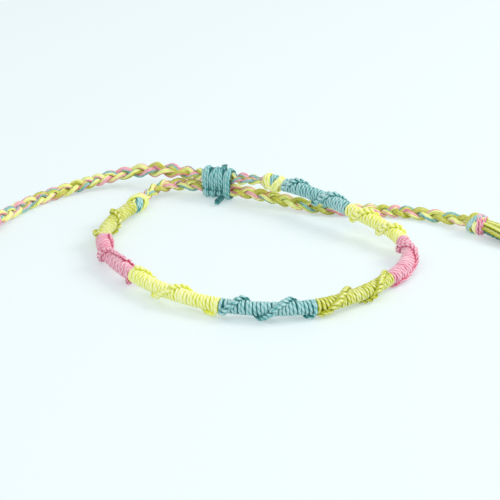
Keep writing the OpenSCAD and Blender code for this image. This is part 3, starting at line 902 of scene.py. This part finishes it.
class BRACELET_OT_slider(bpy.types.Operator):
    """Wrap the sliding knot round both ties"""

    bl_idname = "bracelet.slider"
    bl_label = "Sliding knot"

    def execute(self, context):
        settings = context.scene.bracelet
        places = np.array([SLIDER_LOW, SLIDER_HIGH])
        low, high = COURSE.at(places)
        ahead = COURSE.ahead(places).sum(0)
        self.middle = (low + high) / 2
        self.along = unit(np.array((ahead[0], ahead[1], 0)))
        self.side = np.cross(self.along, UP)
        self.half_rise = (high[2] - low[2]) / 2
        skein = Skein(settings, seed=50)
        for place, lean, count, nip in BARS:
            for k in range(count):
                beside = (k - (count - 1) / 2) * BAR_GAP
                radius = SLIDER_BORE + SLIDER_THICK - BAR_SUNK - abs(beside) * BAR_EDGE
                self.loop(skein, place, beside, lean, radius, BAR_THREAD, nip)
        for place in np.linspace(*UNDER_AT):
            nip = UNDER_NIP * (place > UNDER_NIP_FROM)
            # Under-threads painted wholly in shade
            self.loop(skein, place, 0, 0, SLIDER_BORE + UNDER_RISE, UNDER_THREAD, nip, buried=True)
        self.cut_end(skein, TOP_END, UP, 1)
        self.cut_end(skein, LOW_END, -self.side, -1)
        skein.piece("slider_knot_wraps", "teal_thread", "slider_knot")
        return {"FINISHED"}

    def loop(self, skein, place, beside, lean, radius, size, nip, buried=False):
        """One thread round both ties, with its ends tucked in at the back."""
        half = np.radians(np.linspace(LOOP_FROM, 180, LOOP_STEPS))
        angle = np.concatenate([half, 2 * math.pi - half[::-1]])
        level = np.repeat([1, -1], len(half)) * self.half_rise
        deep = np.zeros(2 * len(half))
        deep[: len(LOOP_TUCK)] = LOOP_TUCK
        deep[-len(LOOP_TUCK) :] = LOOP_TUCK[::-1]
        deep = deep + nip * NIP_DEEP * bell(np.degrees(angle), NIP_AT, NIP_WIDE) * (level < 0)
        drawn = sum(bell(np.degrees(angle), at, DRAWN_WIDE) for at in DRAWN_AT)
        out = np.cos(angle)[:, None] * self.side + np.sin(angle)[:, None] * UP
        along = place + lean * np.sin(angle) + beside * (1 - DRAWN * drawn)
        along = along + LOOP_WAVE * np.sin(LOOP_WAVES * angle + skein.chance.uniform(0, 6))
        path = self.middle + along[:, None] * self.along + (radius - deep)[:, None] * out
        path[:, 2] += level
        skein.lay(path, out, "slider", *size, buried=buried)

    def cut_end(self, skein, row, way, level):
        """One cut end of the knot's threads. Level is 1 at the top of the knot and -1 underneath."""
        place, out, rise, length = row
        reach = level * (self.half_rise + SLIDER_BORE + SLIDER_THICK / 2) + rise
        root = self.middle + place * self.along + out * self.side + reach * UP
        across = np.cross(way, self.along)
        for k in range(END_THREADS):
            a = 2 * math.pi * (k + 0.5) / END_THREADS
            offset = END_RING * (math.cos(a) * self.along + math.sin(a) * across)
            cut = length * skein.chance.uniform(END_SHORT, 1)
            run = np.linspace(0, cut, END_STEPS)[:, None]
            path = root + run * way + offset * (1 + END_SPREAD * run / cut)
            skein.lay(path, np.tile(UP * level - self.side, (END_STEPS, 1)), "slider", *END_THREAD)


# Fringe: length in mm, share by which its locks vary, degrees of that from lock to lock, least share of
# the length, and cottons of each lock's outer threads, the first also for its inner one
FRINGE = 17.0
LOCK_VARIES = 0.1
LOCK_TURN = 140
THREAD_SHORT = 0.94
LOCKS = (
    ("lemon", "lemon"), ("lemon", "olive"), ("lemon", "olive"),
    ("olive", "lemon"), ("teal", "teal"), ("pink", "olive"),
)
# The ring of locks, in mm: half its width and half its height, each at the knot, gained close to it, and
# gained evenly on the way to the tips. Inner threads lie on a smaller ring
RING_WIDE = (0.85, 0.7, 0.7)
RING_HIGH = (0.95, 0.4, -1)
INNER_RING = 0.4
# How fast the ring opens, mm that the threads reach into the knot, and least height of a thread's middle
OPENING = 7
ROOTED = 0.9
FRINGE_LOWEST = 0.32
# A thread of a lock: size, distance from the lock's middle, share by which that shrinks, and how far and
# how often it bends
LOCK_THREAD = (0.6, 0.56)
LOCK_HALF = 0.26
LOCK_SHRINK = 0.2
LOCK_BEND = 0.22
LOCK_BENDS = 1.6
# Steps of a thread, those where it ends and where its yarns start, and the yarns: number, size, spread,
# share of it at their start, how it grows, and points round a ring
LOCK_STEPS = 40
THREAD_TO = 36
YARNS_FROM = 34
YARNS = 6
YARN = (0.2, 0.2)
YARN_SPREAD = (0.45, 0.45, 0.2)
YARN_START = 0.25
YARN_GROWTH = 1.5
YARN_SIDES = 5


class BRACELET_OT_fringes(bpy.types.Operator):
    """Spread the threads of the two fringes"""

    bl_idname = "bracelet.fringes"
    bl_label = "Fringes"

    def execute(self, context):
        settings = context.scene.bracelet
        roots = (("fringe_right", RIGHT_END - SEAM, -1), ("fringe_left", LEFT_END + END_KNOT + SEAM, 1))
        for i, (node, root, way) in enumerate(roots):
            skein = Skein(settings, seed=60 + i)
            for k, (first, second) in enumerate(LOCKS):
                lock = FRINGE * (1 - LOCK_VARIES + LOCK_VARIES * math.cos(math.radians(LOCK_TURN * k)))
                for side, shade in ((-1, first), (1, second), (0, first)):
                    length = lock * skein.chance.uniform(THREAD_SHORT, 1)
                    self.thread(skein, root, way, k, length, side, f"{shade}_braid")
            skein.piece(f"{node}_threads", "fringe_thread", node)
        return {"FINISHED"}

    def thread(self, skein, root, way, k, length, side, shade):
        """One thread of a fringe, which opens into fine yarns at its tip."""
        t = np.linspace(0, 1, LOCK_STEPS)
        s = root + way * (t * length - ROOTED * (1 - t) ** 4)
        outward = COURSE.outward(s)
        a = math.radians(360 * k / len(LOCKS))
        ring = 1 if side else INNER_RING
        opened = 1 - np.exp(-OPENING * t)
        wide, high = (start + near * opened + far * t for start, near, far in (RING_WIDE, RING_HIGH))
        middle = COURSE.at(s) + (ring * wide * math.cos(a))[:, None] * outward
        middle[:, 2] += ring * high * math.sin(a)
        middle[:, 2] = np.maximum(middle[:, 2], FRINGE_LOWEST)
        bend = LOCK_BEND * np.sin(2 * math.pi * (t * LOCK_BENDS + skein.chance.uniform(0, 1))) * t
        path = middle + (side * LOCK_HALF * (1 - LOCK_SHRINK * t) + bend)[:, None] * outward
        up = np.tile(UP, (len(s), 1))
        skein.lay(path[:THREAD_TO], up[:THREAD_TO], shade, *LOCK_THREAD)
        grow = np.linspace(YARN_START, 1, len(s) - YARNS_FROM)[:, None] ** YARN_GROWTH
        for _ in range(YARNS):
            off = skein.chance.uniform(-1, 1, 3) * YARN_SPREAD
            skein.lay(path[YARNS_FROM:] + grow * off, up[YARNS_FROM:], shade, *YARN, sides=YARN_SIDES)


class BRACELET_OT_stage(bpy.types.Operator):
    """Set out the table, the light and the camera"""

    bl_idname = "bracelet.stage"
    bl_label = "Table, light and camera"

    def execute(self, context):
        stage = context.scene.bracelet.stage
        self.table(context, stage)
        self.light(context, stage)
        self.camera(context, stage)
        return {"FINISHED"}

    def table(self, context, stage):
        """A wide pale top that gives off a little light."""
        half = stage.table / 2
        corners = [(-half, -half, 0), (half, -half, 0), (half, half, 0), (-half, half, 0)]
        mesh = bpy.data.meshes.new("table")
        mesh.from_pydata(corners, [], [(0, 1, 2, 3)])
        colour = (*stage.table_colour, 1)
        top = {
            "Base Color": colour,
            "Roughness": 0.7,
            "Emission Color": colour,
            "Emission Strength": stage.table_glow,
        }
        mesh.materials.append(Recipe("table_top").finish(top))
        table = bpy.data.objects.new("table", mesh)
        context.scene.collection.objects.link(table)

    def light(self, context, stage):
        """Light from all round and from two lamps: size, power, colour and place."""
        world = bpy.data.worlds.new("studio")
        world.use_nodes = True
        background = world.node_tree.nodes["Background"]
        background.inputs["Color"].default_value = (0.93, 0.98, 1, 1)
        background.inputs["Strength"].default_value = stage.sky
        context.scene.world = world
        for name, size, energy, colour, place in (
            ("window", 0.32, stage.window, (1, 0.985, 0.95), (0.5, 0.08, 0.42)),
            ("front_box", 0.6, stage.fill, (0.96, 0.99, 1), (-0.1, -0.45, 0.6)),
        ):
            light = bpy.data.lights.new(name, "AREA")
            light.size = size
            light.energy = energy
            light.color = colour
            lamp = bpy.data.objects.new(name, light)
            lamp.location = place
            lamp.rotation_euler = (-lamp.location).to_track_quat("-Z", "Y").to_euler()
            context.scene.collection.objects.link(lamp)

    def camera(self, context, stage):
        """The photo's view, over the middle of the loop."""
        target = Vector((-MIDDLE[0] * MM, -MIDDLE[1] * MM, 0))
        back = Vector((0, -math.cos(stage.elevation), math.sin(stage.elevation)))
        data = bpy.data.cameras.new("camera")
        data.lens = stage.lens
        data.clip_start = 0.01
        data.clip_end = 20
        camera = bpy.data.objects.new("camera", data)
        camera.location = target + back * stage.distance
        camera.rotation_euler = (-back).to_track_quat("-Z", "Y").to_euler()
        context.scene.collection.objects.link(camera)
        context.scene.camera = camera
        context.scene.view_settings.view_transform = "Standard"


class BRACELET_PT_panel(bpy.types.Panel):
    """Lists the steps of the bracelet and its main sizes"""

    bl_idname = "BRACELET_PT_panel"
    bl_label = "Bracelet"
    bl_space_type = "VIEW_3D"
    bl_region_type = "UI"
    bl_category = "Bracelet"

    def draw(self, context):
        settings = context.scene.bracelet
        for step in STEPS:
            self.layout.operator(step.bl_idname)
        for group in (settings.thread, settings.band, settings.tie, settings.stage):
            box = self.layout.box()
            for name in group.bl_rna.properties.keys():
                if name not in ("name", "rna_type"):
                    box.prop(group, name)


STEPS = (
    BRACELET_OT_cottons,
    BRACELET_OT_bands,
    BRACELET_OT_core,
    BRACELET_OT_ties,
    BRACELET_OT_knots,
    BRACELET_OT_slider,
    BRACELET_OT_fringes,
    BRACELET_OT_stage,
)
GROUPS = (ThreadSettings, BandSettings, TieSettings, StageSettings, BraceletSettings)
CLASSES = (*GROUPS, *STEPS, BRACELET_PT_panel)


def register():
    for kind in CLASSES:
        bpy.utils.register_class(kind)
    bpy.types.Scene.bracelet = PointerProperty(type=BraceletSettings)


def unregister():
    del bpy.types.Scene.bracelet
    for kind in reversed(CLASSES):
        bpy.utils.unregister_class(kind)


def main():
    register()
    for step in STEPS:
        getattr(bpy.ops.bracelet, step.bl_idname.split(".")[1])()


if __name__ == "__main__":
    main()
